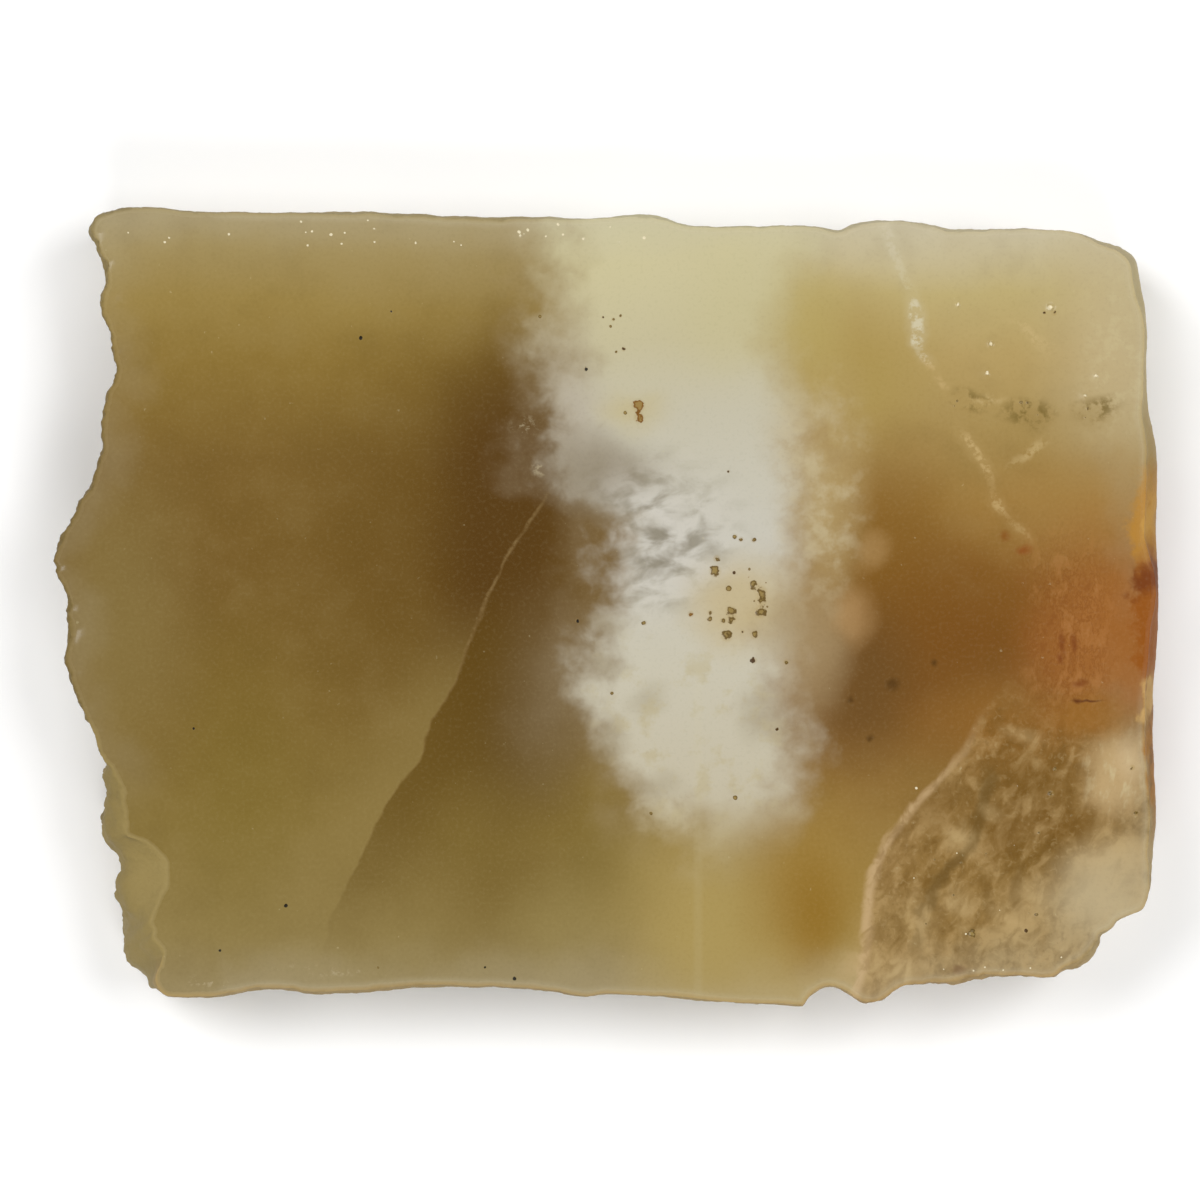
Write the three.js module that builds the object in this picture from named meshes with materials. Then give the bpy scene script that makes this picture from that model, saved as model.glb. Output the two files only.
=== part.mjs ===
// A slab sawn out of a raw jade boulder, lying on its sawn back face.
//
// Millimetres, +Z up. The origin is the middle of the slab's footprint, on the surface it lies on.
// +X runs along the length, from the broken edge to the boulder's own skin, and +Z comes out of
// the face that shows. The stone is one closed body, built as level outlines from the back face
// to the front one. Each outline is the slab's widest outline drawn in towards a smooth core line.
import * as THREE from 'three';

// Driving dimensions.
const LENGTH = 150;
const WIDTH = 108.4;
const THICKNESS = 18;

// How far in the core line lies, how much of the edge on each side is averaged to smooth it, and
// over what length one kind of edge turns into the next.
const CORE_DEPTH = 9;
const CORE_SPAN = 16;
const BLEND_SPAN = 3;

// How far below the front face the side is left unscooped, so that the face keeps its outline, and
// how deep a front flake has to bite before the stone below it stands out as far as the edge did.
const UNSCOOPED = 5;
const STANDING_BITE = 2;

// Heights of the outlines, as shares of the thickness. They are closer near the two faces.
const LEVELS = [0, 0.05, 0.16, 0.35, 0.56, 0.75, 0.87, 0.95, 1];

// How each kind of edge differs, in millimetres. `step` is the spacing of its points, `hackle`
// its roughness in plan, `arris` how far its corners with the two faces are rubbed back, `round`
// how far down that rubbing reaches, `hollow` how deep its side is scooped, and `lean` how far
// the side runs in under the front face by the time it meets the back one.
const SAWN = { step: 2.2, hackle: 0.2, arris: 0.3, round: 1, hollow: 0.5, lean: 0.8 };
const BROKEN = { step: 1.5, hackle: 0.5, arris: 0.35, round: 1.2, hollow: 2.4, lean: 4 };
const CHIPPED = { step: 1.4, hackle: 0.25, arris: 0.4, round: 1.5, hollow: 1.6, lean: 2.4 };
const SKIN = { step: 2.4, hackle: 0.12, arris: 1.5, round: 5, hollow: 0.5, lean: 1.6 };

// The grain of each sort of roughness: its length along the edge, its height up the side, and
// the seed that keeps it apart from the others.
const RUB_GRAIN = { length: 7, height: 9, seed: 1 };
const SCOOP_GRAIN = { length: 13, height: 8, seed: 2 };
const HACKLE_GRAIN = { length: 2.6, height: 3, seed: 3 };
const NICK_GRAIN = { length: 1.9, height: THICKNESS, seed: 4 };
const LEAN_GRAIN = { length: 24, height: THICKNESS, seed: 5 };

// The widest outline, clockwise from the top left corner. Each run of edge is one smooth curve
// through its points, and two runs meet in a corner.
const EDGE_RUNS = [
  {
    kind: SAWN,
    points: [
      [-69.8, 51], [-69.1, 52.7], [-67.3, 53.6], [-61.5, 54.2], [-56, 53.7], [-46, 53.5],
      [-32, 53.5], [-19, 52.9], [-8, 52.9], [-2, 52.6], [1.5, 53], [8, 52.9], [10.3, 51.9],
      [18, 51.6], [26, 51.7], [31.2, 51.1],
    ],
  },
  {
    kind: SAWN,
    points: [
      [31.2, 51.1], [33.5, 51.9], [37, 52.4], [41.5, 52.2], [46.5, 51.3], [55, 51.3],
      [63.2, 50.9], [67.8, 49.7],
    ],
  },
  {
    kind: SKIN,
    points: [
      [67.8, 49.7], [70.8, 48.8], [72.2, 47.2], [72.7, 44.5], [73.5, 38.5], [73.3, 30],
      [73.7, 26], [74.6, 21.5], [74.7, 16], [74.6, 10], [75, 5], [75, -4.5], [74.5, -12],
      [74.6, -23], [74.7, -28], [74.3, -33], [74, -38.5], [73.2, -40.8],
    ],
  },
  {
    kind: CHIPPED,
    points: [[73.2, -40.8], [71.6, -41.8], [70.3, -42.2], [69, -43], [68, -44.6], [67.4, -45]],
  },
  { kind: CHIPPED, points: [[67.4, -45], [66.9, -47], [65, -49], [63.4, -49.7]] },
  {
    kind: CHIPPED,
    points: [
      [63.4, -49.7], [59.7, -50.5], [55, -50.3], [51, -51], [46.4, -51.8], [42.5, -51.3],
      [40, -51.6], [38.6, -52.4],
    ],
  },
  { kind: CHIPPED, points: [[38.6, -52.4], [37.2, -53.6], [35.2, -54], [33.2, -53.1]] },
  {
    kind: CHIPPED,
    points: [[33.2, -53.1], [31.6, -52.1], [30, -51.7], [28.2, -52.3], [26.4, -54.1]],
  },
  {
    kind: SAWN,
    points: [
      [26.4, -54.1], [19, -53.7], [13.4, -53.5], [6.6, -52.8], [1, -52.5], [-3.3, -52.9],
      [-7, -52.2], [-24, -51.5], [-30, -52.1], [-39, -52.4], [-45.3, -51.8], [-51.3, -52.8],
      [-58, -53], [-61.8, -52.1],
    ],
  },
  {
    kind: CHIPPED,
    points: [[-61.8, -52.1], [-62.6, -50.4], [-64.9, -48], [-66, -45.6]],
  },
  {
    kind: BROKEN,
    points: [
      [-66, -45.6], [-65.6, -42.6], [-66.3, -38], [-66, -34], [-68.1, -31], [-68.3, -26],
      [-69, -18], [-72, -12], [-73.1, -8.4], [-72.8, -4.6], [-73.3, 1], [-75, 6],
    ],
  },
  { kind: BROKEN, points: [[-75, 6], [-73.8, 10], [-70.5, 15.5], [-68, 21.5]] },
  { kind: BROKEN, points: [[-68, 21.5], [-68.3, 26], [-66.7, 31], [-66.5, 32.2]] },
  {
    kind: BROKEN,
    points: [
      [-66.5, 32.2], [-67.3, 36.6], [-68.3, 41], [-68, 45.5], [-69, 49], [-69.8, 51],
    ],
  },
];

// Flakes struck off the edges from one face. `at` is the middle of the flake on the outline,
// `reach` half its length along the edge, `bite` how far in it runs on the face, and `drop` how
// far down the side it runs.
const FRONT_FLAKES = [
  { at: [-68.2, -29], reach: 8, bite: 2.8, drop: 3 },
  { at: [-66, -38.5], reach: 8, bite: 6.6, drop: 3 },
  { at: [-65, -47], reach: 6.3, bite: 5, drop: 6 },
  { at: [65.5, -48.5], reach: 5, bite: 1.2, drop: 4 },
  { at: [48, -51.6], reach: 5, bite: 0.8, drop: 3 },
];
const BACK_FLAKES = [
  { at: [-60, 54], reach: 9, bite: 3.4, drop: 5 },
  { at: [-70, -16], reach: 12, bite: 3.8, drop: 8 },
  { at: [-67, 36], reach: 8, bite: 2.6, drop: 5 },
  { at: [-18, -52], reach: 10, bite: 2.4, drop: 5 },
  { at: [58, -50.5], reach: 11, bite: 4.2, drop: 8 },
  { at: [8, 53], reach: 8, bite: 2, drop: 4 },
  { at: [74, 30], reach: 10, bite: 2, drop: 5 },
];

const smoothstep = (low, high, value) => THREE.MathUtils.smoothstep(value, low, high);

/** A number from 0 to 1 for each lattice point, from the usual sine hash, so always the same. */
function latticeValue(i, j, seed) {
  const wave = Math.sin(i * 127.1 + j * 311.7 + seed * 74.7) * 43758.5453;
  return wave - Math.floor(wave);
}

/** Smooth noise from 0 to 1. It repeats in x after `period` cells, so that it closes on a loop. */
function loopNoise(x, y, period, seed) {
  const column = Math.floor(x);
  const row = Math.floor(y);
  const u = smoothstep(0, 1, x - column);
  const v = smoothstep(0, 1, y - row);
  const corner = (i, j) => latticeValue((column + i) % period, row + j, seed);
  const lower = THREE.MathUtils.lerp(corner(0, 0), corner(1, 0), u);
  const upper = THREE.MathUtils.lerp(corner(0, 1), corner(1, 1), u);
  return THREE.MathUtils.lerp(lower, upper, v);
}

/** Points along every run of edge, each with the kind of edge that it lies on. */
function sampleEdge() {
  const samples = [];
  for (const { kind, points } of EDGE_RUNS) {
    const knots = points.map(([x, y]) => new THREE.Vector3(x, y, 0));
    const curve = new THREE.CatmullRomCurve3(knots, false, 'centripetal');
    const count = Math.max(2, Math.round(curve.getLength() / kind.step));
    for (const point of curve.getSpacedPoints(count).slice(0, -1)) {
      samples.push({ point: new THREE.Vector2(point.x, point.y), kind });
    }
  }
  return samples;
}

/** The average of a value over the samples that lie near sample `index` along the edge. */
function averageNear(samples, index, span, read) {
  const sum = read(samples[index]).clone();
  let count = 1;
  for (const direction of [-1, 1]) {
    let travelled = 0;
    let here = index;
    while (travelled < span) {
      const next = (here + direction + samples.length) % samples.length;
      travelled += samples[here].point.distanceTo(samples[next].point);
      sum.add(read(samples[next]));
      count += 1;
      here = next;
    }
  }
  return sum.divideScalar(count);
}

/** Gives each sample its place along the edge, its point on the core line and its edge values. */
function describeEdge(samples) {
  let travelled = 0;
  samples.forEach((sample, index) => {
    sample.along = travelled;
    travelled += sample.point.distanceTo(samples[(index + 1) % samples.length].point);
    sample.middle = averageNear(samples, index, CORE_SPAN, (near) => near.point);
    const { arris, round, hollow, lean } = sample.kind;
    sample.values = new THREE.Vector4(arris, round, hollow, lean);
  });
  samples.forEach((sample, index) => {
    const before = samples[(index - 1 + samples.length) % samples.length].middle;
    const after = samples[(index + 1) % samples.length].middle;
    const run = after.clone().sub(before).normalize();
    const inward = new THREE.Vector2(run.y, -run.x);
    sample.core = sample.middle.clone().addScaledVector(inward, CORE_DEPTH);
    sample.blended = averageNear(samples, index, BLEND_SPAN, (near) => near.values);
  });
  return travelled;
}

/** How deep the flakes struck from one face cut at this sample, `depth` below that face. */
function flakeCut(flakes, point, depth) {
  let cut = 0;
  for (const { at, reach, bite, drop } of flakes) {
    const away = point.distanceTo(new THREE.Vector2(...at)) / reach;
    if (away < 1 && depth < drop) {
      const bowl = Math.sqrt(1 - away * away) * (1 - depth / drop);
      cut = Math.max(cut, bite * bowl);
    }
  }
  return cut;
}

/** The noise of one grain at this sample and height. `total` is the length of the whole edge. */
function grainAt(grain, sample, height, total) {
  const period = Math.round(total / grain.length);
  return loopNoise((sample.along / total) * period, height / grain.height, period, grain.seed);
}

/** How far in from the widest outline the side lies at this sample and height. */
function sideInset(sample, height, total) {
  const [arris, round, hollow, lean] = sample.blended.toArray();
  const { hackle } = sample.kind;
  const grain = (kind) => grainAt(kind, sample, height, total);
  const below = THICKNESS - height;
  const nearFace = (1 - smoothstep(0, round, Math.min(height, below))) ** 1.5;
  const rubbed = arris * (0.5 + grain(RUB_GRAIN)) * nearFace;
  const clearOfFront = smoothstep(0, UNSCOOPED, below);
  const scooped = hollow * smoothstep(0.35, 0.95, grain(SCOOP_GRAIN)) * clearOfFront;
  const leaning = lean * (0.3 + 0.9 * grain(LEAN_GRAIN)) * (below / THICKNESS) ** 1.4;
  const rough = hackle * (grain(HACKLE_GRAIN) * clearOfFront + grain(NICK_GRAIN));
  const struck = Math.max(
    flakeCut(FRONT_FLAKES, sample.point, below),
    flakeCut(BACK_FLAKES, sample.point, height),
  );
  // Where a flake is gone from the front, the stone under it stands out as far as the edge.
  const bite = flakeCut(FRONT_FLAKES, sample.point, 0);
  const standing = 1 - smoothstep(0, STANDING_BITE, bite);
  return rubbed + (scooped + leaning) * standing + rough + struck;
}

/** Every outline's points, from the back face up. */
function buildRings() {
  const samples = sampleEdge();
  const total = describeEdge(samples);
  return LEVELS.map((level) => samples.map((sample) => {
    const height = level * THICKNESS;
    const share = sideInset(sample, height, total) / sample.point.distanceTo(sample.core);
    const point = sample.point.clone().lerp(sample.core, share);
    return new THREE.Vector3(point.x, point.y, height);
  }));
}

/** Scales and shifts the outlines so that together they fill the stated length and width. */
function fitToSize(rings) {
  const box = new THREE.Box3().setFromPoints(rings.flat());
  const size = box.getSize(new THREE.Vector3());
  const middle = box.getCenter(new THREE.Vector3());
  for (const point of rings.flat()) {
    point.x = (point.x - middle.x) * (LENGTH / size.x);
    point.y = (point.y - middle.y) * (WIDTH / size.y);
  }
}

/** The slab's closed surface: a side between each two outlines, and a flat face at each end. */
function slabGeometry() {
  const rings = buildRings();
  fitToSize(rings);
  const around = rings[0].length;
  const triangles = [];
  for (let row = 0; row + 1 < rings.length; row += 1) {
    for (let index = 0; index < around; index += 1) {
      const next = (index + 1) % around;
      const low = row * around;
      const high = low + around;
      triangles.push(low + index, high + index, low + next);
      triangles.push(low + next, high + index, high + next);
    }
  }
  const flat = (ring) => ring.map((point) => new THREE.Vector2(point.x, point.y));
  const front = (rings.length - 1) * around;
  for (const [a, b, c] of THREE.ShapeUtils.triangulateShape(flat(rings[0]), [])) {
    triangles.push(c, b, a);
  }
  for (const [a, b, c] of THREE.ShapeUtils.triangulateShape(flat(rings.at(-1)), [])) {
    triangles.push(front + a, front + b, front + c);
  }
  const geometry = new THREE.BufferGeometry().setFromPoints(rings.flat());
  geometry.setIndex(triangles);
  geometry.computeVertexNormals();
  return geometry;
}

const jade = new THREE.MeshStandardMaterial({ color: 0x9c8450, roughness: 0.35, metalness: 0 });
const slab = new THREE.Mesh(slabGeometry(), jade);
slab.name = 'jade_slab';

const group = new THREE.Group();
group.add(slab);

export default group;
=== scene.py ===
import math
import random

import bmesh
import bpy
import numpy as np
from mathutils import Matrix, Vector, kdtree
from mathutils.geometry import delaunay_2d_cdt


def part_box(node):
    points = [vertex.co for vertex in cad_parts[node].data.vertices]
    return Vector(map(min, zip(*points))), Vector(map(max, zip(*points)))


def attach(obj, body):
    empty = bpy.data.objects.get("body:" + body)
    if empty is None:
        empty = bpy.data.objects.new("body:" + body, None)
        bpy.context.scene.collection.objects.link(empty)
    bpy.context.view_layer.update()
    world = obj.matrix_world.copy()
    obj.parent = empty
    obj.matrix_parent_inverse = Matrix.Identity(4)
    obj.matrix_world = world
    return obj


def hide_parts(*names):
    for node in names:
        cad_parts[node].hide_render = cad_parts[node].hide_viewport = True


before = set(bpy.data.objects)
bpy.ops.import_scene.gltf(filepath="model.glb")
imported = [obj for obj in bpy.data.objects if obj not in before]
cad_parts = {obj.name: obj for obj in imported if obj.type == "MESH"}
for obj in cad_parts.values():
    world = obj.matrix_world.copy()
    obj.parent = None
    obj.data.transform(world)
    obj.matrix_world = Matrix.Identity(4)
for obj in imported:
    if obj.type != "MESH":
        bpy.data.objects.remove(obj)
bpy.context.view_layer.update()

MM = 0.001
SLAB = "jade_slab"
LOW, HIGH = (np.array(corner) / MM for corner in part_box(SLAB))
THICKNESS = HIGH[2] - LOW[2]

# Mesh density.
EDGE_STEP = 0.36
SIDE_ROWS = 34
FACE_STEP = 1.25
CRUST_STEP = 0.75
BACK_STEP = 2.6
RIM_OFFSETS = (0.4, 0.95, 1.7, 2.6)

# How far the roughness of the sides reaches in over the two faces, how far up and down the side
# it also bevels the corners and how steeply, and how much of the edge is averaged to find which
# way is in.
RIM_REACH = 3.0
ARRIS_REACH = 1.6
ARRIS_SLOPE = 0.6
INWARD_SPAN = 14

# How far round a pit its mark is stored, in radii, and how far from its middle the face's own
# points start. The seed places the strewn pits.
PIT_REACH = 1.6
PIT_CLEARANCE = 0.9
STREWN_SEED = 7

# The crusty corner, from its lower left to its upper right, where the face's points are closer.
CRUST_AREA = (np.array([34, -52]), np.array([72, -10]))

# Edges that turn by more than this are shaded sharp.
SHARP_ANGLE = math.radians(62)

# What the floor of a pit is stained with. The pale stain serves both as pale specks and as painted
# glints.
GREEN, RUST, BROWN, DARK, PALE_SPECK_AND_GLINT = 0.0, 0.25, 0.5, 0.75, 1.0

# Pits in the front face: place, radius, depth and stain.
PITS = [
    # The white cloud's pits.
    (4.3, 27.2, 0.75, 0.06, RUST), (4.4, 25.6, 0.6, 0.05, RUST), (2.5, 26.3, 0.22, 0.03, GREEN),
    (17.4, 9.5, 0.3, 0.04, GREEN), (18.2, 9.1, 0.3, 0.04, GREEN), (19.9, 9.0, 0.3, 0.03, GREEN),
    (14.9, 6.5, 0.4, 0.06, GREEN), (14.7, 4.8, 0.7, 0.1, GREEN), (17.3, 4.6, 0.2, 0.03, BROWN),
    (19.9, 2.9, 0.55, 0.1, GREEN), (16.5, 2.4, 0.35, 0.04, GREEN), (20.9, 2.0, 0.7, 0.1, GREEN),
    (20.9, 0.8, 0.65, 0.1, GREEN), (20.8, -0.8, 0.7, 0.1, GREEN), (14.0, -0.8, 0.3, 0.06, GREEN),
    (14.0, -1.7, 0.32, 0.06, GREEN), (16.8, -0.6, 0.6, 0.08, GREEN), (16.9, -1.6, 0.6, 0.08, GREEN),
    (15.8, -1.9, 0.35, 0.05, GREEN), (16.3, -4.0, 0.65, 0.1, GREEN), (18.4, -3.4, 0.22, 0.03, BROWN),
    (20.0, -3.8, 0.5, 0.08, GREEN), (19.9, -7.3, 0.38, 0.05, BROWN), (11.4, -1.0, 0.35, 0.03, RUST),
    (5.1, -2.2, 0.3, 0.03, GREEN), (24.3, -7.5, 0.3, 0.03, GREEN), (0.7, -11.7, 0.25, 0.03, GREEN),
    (23.1, -16.6, 0.22, 0.03, BROWN), (17.4, -25.9, 0.25, 0.03, GREEN), (6.0, -28.0, 0.25, 0.03, GREEN),
    (16.5, 18.3, 0.2, 0.03, BROWN), (1.9, 39.4, 0.2, 0.03, GREEN), (0.9, 38.9, 0.22, 0.03, GREEN),
    (0.5, 38.0, 0.2, 0.03, GREEN), (-0.5, 39.2, 0.18, 0.03, BROWN), (2.3, 34.9, 0.27, 0.03, BROWN),
    (1.3, 34.5, 0.18, 0.03, GREEN), (-2.8, 32.2, 0.3, 0.03, DARK), (-9.0, 39.3, 0.22, 0.03, GREEN),
    (-4.0, -1.9, 0.24, 0.03, DARK),
    # The ochre side's pits, some with a painted glint: a pale speck where a pit catches the light.
    (60.2, 40.6, 0.5, 0.4, PALE_SPECK_AND_GLINT), (60.6, 39.8, 0.35, 0.03, BROWN), (59.3, 39.8, 0.22, 0.03, BROWN),
    (52.1, 35.6, 0.34, 0.3, PALE_SPECK_AND_GLINT), (51.6, 31.6, 0.27, 0.2, PALE_SPECK_AND_GLINT), (47.6, 40.9, 0.25, 0.2, PALE_SPECK_AND_GLINT),
    (66.3, 31.3, 0.28, 0.2, PALE_SPECK_AND_GLINT), (64.8, 28.6, 0.18, 0.2, PALE_SPECK_AND_GLINT),
    # The crusty corner's pits.
    (49.5, -44.3, 0.5, 0.1, GREEN), (56.9, -43.9, 0.24, 0.03, BROWN),
    (60.2, -25.3, 0.4, 0.1, GREEN), (72.6, -32.9, 0.3, 0.03, GREEN), (71.7, -28.0, 0.3, 0.03, GREEN),
    (71.2, -21.8, 0.35, 0.05, GREEN),
    # Fine black dots on the olive side.
    (-33.3, 36.4, 0.22, 0.03, DARK), (-29.2, 40.0, 0.15, 0.03, DARK), (-56.0, -16.5, 0.2, 0.03, DARK),
    (-43.5, -40.5, 0.22, 0.03, DARK), (-52.4, -46.6, 0.18, 0.03, DARK), (-62.2, -46.9, 0.2, 0.03, DARK),
    (-16.5, -48.9, 0.22, 0.03, DARK), (-12.4, -50.4, 0.25, 0.03, DARK), (-31.0, -48.9, 0.16, 0.03, GREEN),
]

# Where small pits are strewn: the middle and half size of the area, how many there are, the
# largest radius and the stain. Depth is a quarter of the radius.
STREWN = [
    # Painted glints: pale specks along the top edge.
    ((-16, 50.7), (28, 2.0), 22, 0.24, PALE_SPECK_AND_GLINT),
    ((-40, 50.8), (26, 1.6), 8, 0.18, PALE_SPECK_AND_GLINT),
    ((56.8, 26.6), (2.2, 1.4), 3, 0.22, GREEN),
    ((48.8, 27.9), (2.4, 1.1), 2, 0.2, GREEN),
    ((65.6, 26.7), (1.6, 1.1), 2, 0.24, GREEN),
    ((54, -31), (12, 12), 10, 0.26, GREEN),
    ((48, -33), (8, 12), 7, 0.16, PALE_SPECK_AND_GLINT),
    # Painted glints: pale specks along the bottom edge.
    ((57, -48.6), (12, 1.2), 12, 0.22, PALE_SPECK_AND_GLINT),
    ((18, 1), (4, 5), 6, 0.2, GREEN),
]


# ---- The stone's outlines, read off the CAD slab. ----

def level_outline(mesh, height):
    """The closed outline at one height of the merged CAD mesh, clockwise seen from the front."""
    def flat(face):
        return all(abs(corner.co.z - height) < 1e-6 for corner in face.verts)

    onward = {}
    for edge in mesh.edges:
        if not all(abs(end.co.z - height) < 1e-6 for end in edge.verts):
            continue
        if all(flat(face) for face in edge.link_faces):
            continue
        for end in edge.verts:
            onward.setdefault(end, []).append(edge.other_vert(end))
    start = next(iter(onward))
    loop = [start, onward[start][0]]
    while len(loop) < len(onward):
        ahead = [end for end in onward[loop[-1]] if end is not loop[-2]]
        loop.append(ahead[0])
    ring = np.array([corner.co.xy for corner in loop]) / MM
    after = np.roll(ring, -1, 0)
    area = np.sum(ring[:, 0] * after[:, 1] - ring[:, 1] * after[:, 0])
    return ring if area < 0 else ring[::-1]


def turned_to_match(ring, guide):
    """The ring with its start moved to the point that lies best against the guide ring."""
    turns = [np.roll(ring, -shift, 0) for shift in range(len(ring))]
    return min(turns, key=lambda turn: np.square(turn - guide).sum())


def cad_outlines(node):
    """The heights and outlines of the CAD slab, from the back face up, point against point."""
    mesh = bmesh.new()
    mesh.from_mesh(node.data)
    bmesh.ops.remove_doubles(mesh, verts=mesh.verts, dist=1e-7)
    heights = sorted({round(corner.co.z, 6) for corner in mesh.verts})
    rings = [level_outline(mesh, height) for height in heights]
    mesh.free()
    for row in range(1, len(rings)):
        rings[row] = turned_to_match(rings[row], rings[row - 1])
    return np.array(heights) / MM, np.array(rings)


def smooth_rows(knots, rows, places):
    """Rows read at the given places, on a smooth curve through the rows at the knots."""
    slopes = np.gradient(rows, knots, axis=0)
    index = np.clip(np.searchsorted(knots, places, side="right") - 1, 0, len(knots) - 2)
    shape = (-1,) + (1,) * (rows.ndim - 1)
    width = (knots[index + 1] - knots[index]).reshape(shape)
    t = (places - knots[index]).reshape(shape) / width
    value = (2 * t**3 - 3 * t**2 + 1) * rows[index] + (3 * t**2 - 2 * t**3) * rows[index + 1]
    slope = (t**3 - 2 * t**2 + t) * slopes[index] + (t**3 - t**2) * slopes[index + 1]
    return value + slope * width


def dense_side(heights, rings):
    """The whole side as rows of points, evenly spaced along the edge and closer near the faces."""
    count = rings.shape[1]
    wrapped = np.concatenate([rings[:, -3:], rings, rings[:, :4]], axis=1)
    middle = rings.mean(0)
    steps = np.linalg.norm(np.roll(middle, -1, 0) - middle, axis=1)
    travelled = np.concatenate([[0], np.cumsum(steps)])
    stations = round(travelled[-1] / EDGE_STEP)
    even = np.linspace(0, travelled[-1], stations, endpoint=False)
    places = np.interp(even, travelled, np.arange(count + 1))
    knots = np.arange(-3, count + 4, dtype=float)
    along = smooth_rows(knots, wrapped.transpose(1, 0, 2), places)
    share = np.linspace(0, 1, SIDE_ROWS + 1)
    share = 0.45 * share + 0.55 * (1 - np.cos(math.pi * share)) / 2
    levels = share * heights[-1]
    return levels, smooth_rows(heights, along.transpose(1, 0, 2), levels)


def inward_directions(ring):
    """The way in from the edge at each point of a closed clockwise ring, smoothed along it."""
    half = round(INWARD_SPAN / EDGE_STEP / 2)
    middle = sum(np.roll(ring, shift, 0) for shift in range(-half, half + 1))
    run = np.roll(middle, -1, 0) - np.roll(middle, 1, 0)
    run /= np.linalg.norm(run, axis=1, keepdims=True)
    return np.stack([run[:, 1], -run[:, 0]], axis=1)


# ---- The mesh. ----

def inside(ring, points):
    """Which of the points lie inside the closed ring."""
    result = np.zeros(len(points), bool)
    x, y = points[:, 0], points[:, 1]
    for a, b in zip(ring, np.roll(ring, -1, 0)):
        crosses = (a[1] > y) != (b[1] > y)
        if crosses.any():
            slope = (b[0] - a[0]) / (b[1] - a[1])
            result ^= crosses & (x < a[0] + slope * (y - a[1]))
    return result


def hex_grid(step, low, high):
    """Points on a grid of triangles that fills the box from low to high."""
    columns = np.arange(low[0], high[0], step)
    rows = np.arange(low[1], high[1], step * math.sqrt(0.75))
    grid = [(x + (index % 2) * step / 2, y) for index, y in enumerate(rows) for x in columns]
    return np.array(grid)


def pit_points(pits):
    """Rings of points round each pit, close enough to carry its shape."""
    points = []
    for x, y, radius, *_ in pits:
        points.append((x, y))
        for share, count in ((0.3, 6), (0.6, 9), (0.95, 11), (PIT_REACH, 12)):
            for step in range(count):
                turn = 2 * math.pi * (step + share) / count
                points.append((x + share * radius * math.cos(turn),
                               y + share * radius * math.sin(turn)))
    return np.array(points)


def search_tree(points):
    """A tree that finds the nearest of the points."""
    tree = kdtree.KDTree(len(points))
    for index, (x, y) in enumerate(points):
        tree.insert((x, y, 0), index)
    tree.balance()
    return tree


def away_from(points, others, least):
    """The points that lie at least that far from all the others."""
    tree = search_tree(others)
    return np.array([(x, y) for x, y in points if tree.find((x, y, 0))[2] >= least])


def grid_inside(rim, step, low, high, margin):
    """A grid of points from low to high, inside the rim and at least the margin away from it."""
    grid = hex_grid(step, low, high)
    return away_from(grid[inside(rim, grid)], rim, RIM_OFFSETS[-1] + margin)


def face_points(rim, inward, step, pits):
    """The points inside one face: bands along the rim, a grid, and the rings round its pits."""
    placed_points = [pit_points(pits)] if pits else []
    for band, offset in enumerate(RIM_OFFSETS):
        points = (rim + inward * offset)[band % 2::1 + band // 2]
        placed_points.append(away_from(points[inside(rim, points)], rim, offset * 0.7))
    grid = grid_inside(rim, step, rim.min(0), rim.max(0), 0.4 * step)
    if pits:
        centres = np.array([pit[:2] for pit in pits])
        fine = grid_inside(rim, CRUST_STEP, *CRUST_AREA, 0.3)
        placed_points.append(away_from(fine, centres, PIT_CLEARANCE))
        grid = away_from(grid, centres, PIT_CLEARANCE)
        (left, _), (_, top) = CRUST_AREA
        grid = grid[(grid[:, 0] < left) | (grid[:, 1] > top)]
    return np.concatenate([*placed_points, grid])


def filled_face(rim, points):
    """Triangles that fill the rim through the points, and the points that they use."""
    count = len(rim)
    corners = [Vector(point) for point in np.concatenate([rim, points])]
    ring = [(index, (index + 1) % count) for index in range(count)]
    result = delaunay_2d_cdt(corners, ring, [], 1, 1e-6)
    places, _, triangles, origins = result[:4]
    moved = [sources[0] if sources else -1 for sources in origins]
    assert -1 not in moved
    return np.array([tuple(place) for place in places]), triangles, moved


def read_pits(points, pits):
    """At each point: how deep the pits press the face, the pits' mark and the pits' stain.

    The mark is 1 in the middle of a pit and 0 at its reach.
    """
    depth = np.zeros(len(points))
    stain = np.zeros(len(points))
    mark = np.full(len(points), -0.5)
    for x, y, radius, deep, colour in pits:
        away = np.hypot(points[:, 0] - x, points[:, 1] - y) / radius
        depth = np.maximum(depth, deep * np.clip(1 - away**2, 0, 1) ** 0.7)
        own = 1 - away / PIT_REACH
        stain = np.where(own > mark, colour, stain)
        mark = np.maximum(mark, own)
    return depth, np.maximum(mark, 0), stain


def strewn_pits():
    """The small strewn pits, the same on every run."""
    picks = random.Random(STREWN_SEED)
    pits = []
    for (x, y), (half_x, half_y), count, largest, stain in STREWN:
        for _ in range(count):
            place = (x + half_x * picks.uniform(-1, 1), y + half_y * picks.uniform(-1, 1))
            radius = largest * picks.uniform(0.45, 1)
            pits.append((*place, radius, radius / 4, stain))
    return pits


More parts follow.
